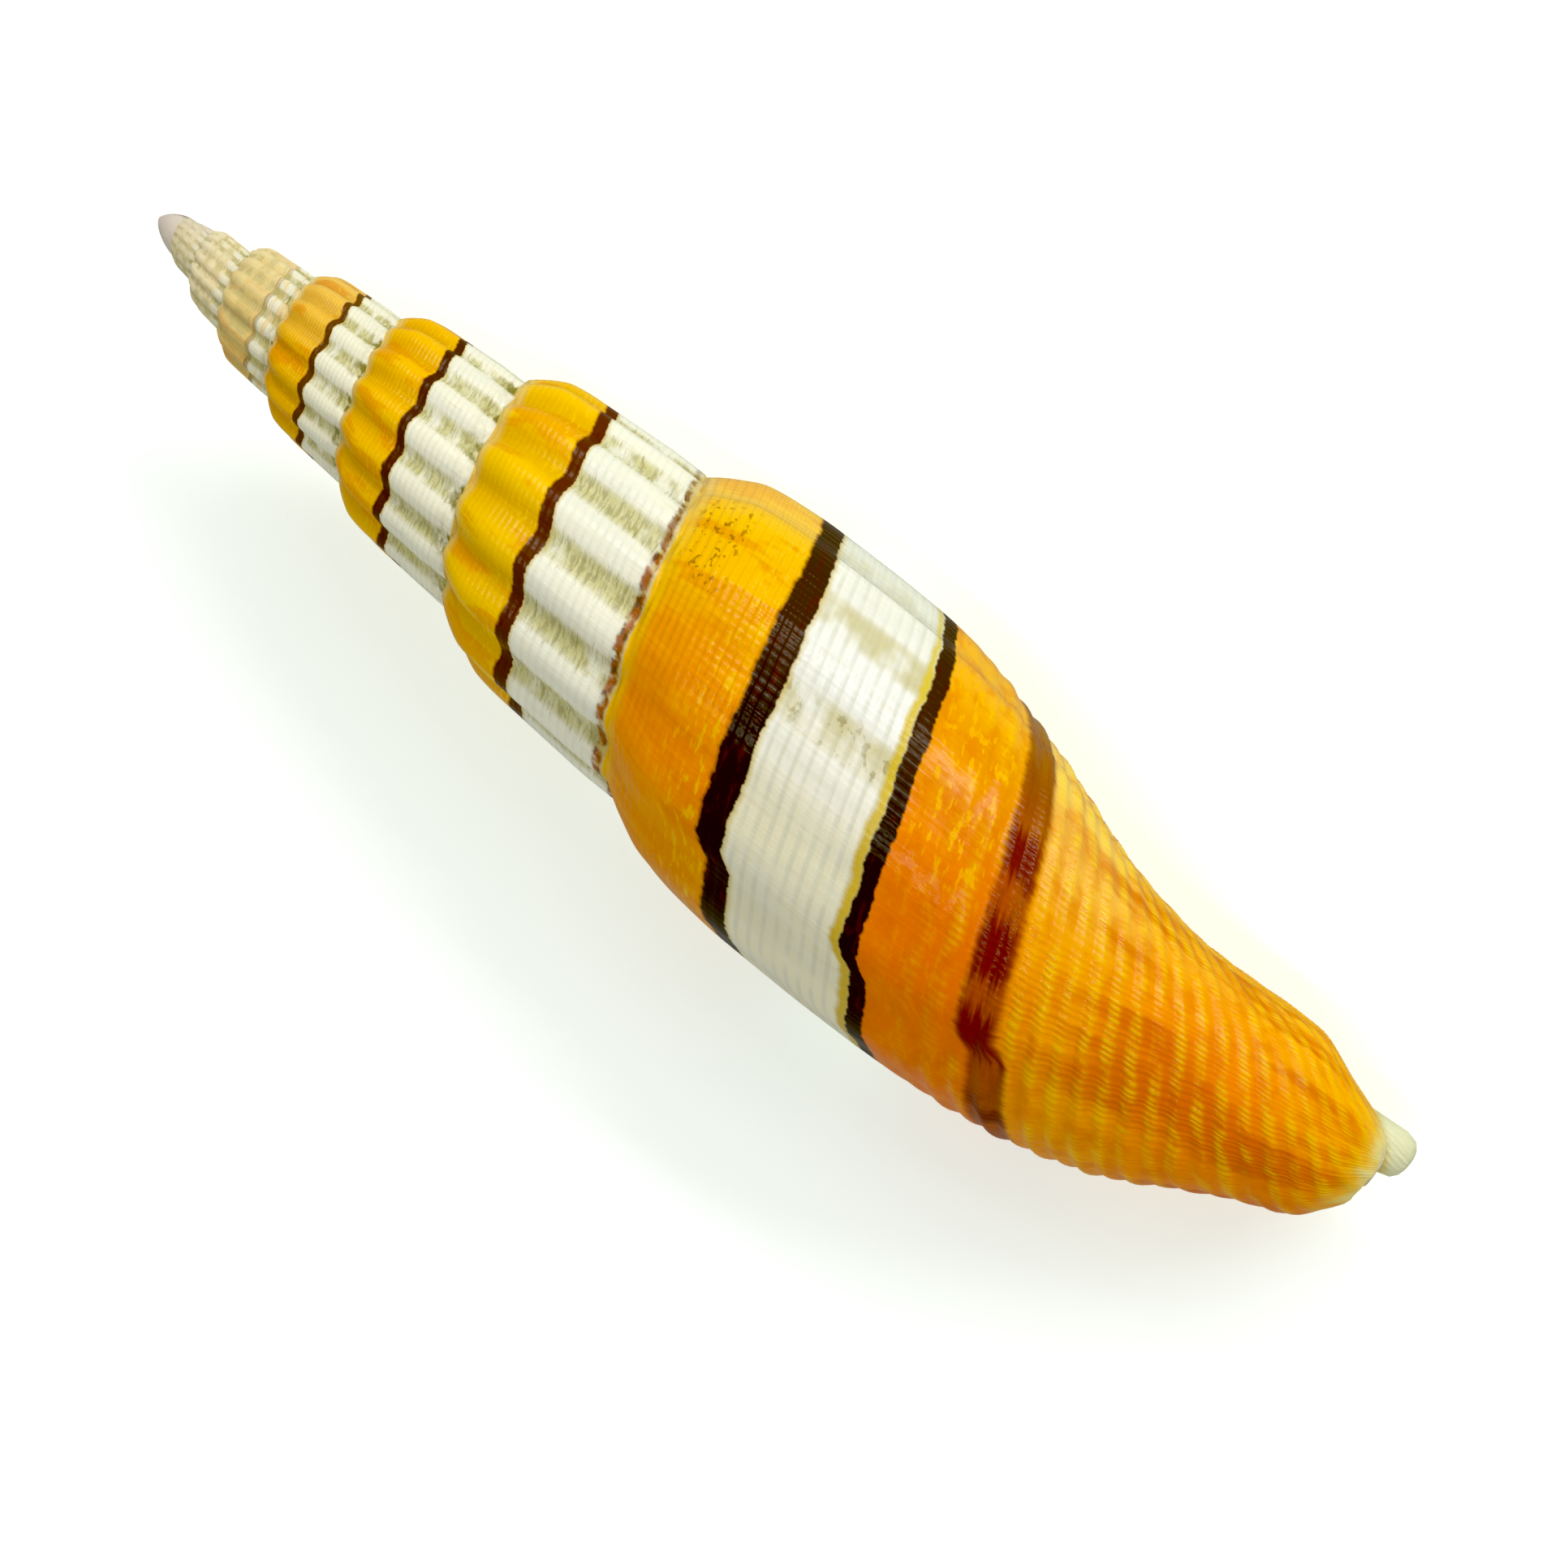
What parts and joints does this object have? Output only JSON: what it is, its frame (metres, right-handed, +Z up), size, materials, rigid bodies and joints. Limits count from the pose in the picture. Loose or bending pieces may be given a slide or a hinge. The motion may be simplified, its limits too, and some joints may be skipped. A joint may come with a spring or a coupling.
{
  "type": "mitre shell",
  "caption": "Empty mitre sea shell, slender and high-spired, with axial ribs, a tall body whorl, a long narrow aperture and a short open canal, lying aperture down.",
  "frame": {"origin": "middle of the shell's box, on the surface that the shell lies on", "axes": "+X from the apex to the front end, +Z up, with the aperture facing down"},
  "size_m": [0.0624, 0.0156, 0.0144],
  "materials": {
    "shell": "glossy orange shell with white bands between thin dark lines"
  },
  "bodies": {
    "root": {"shell": "shell"}
  },
  "joints": []
}
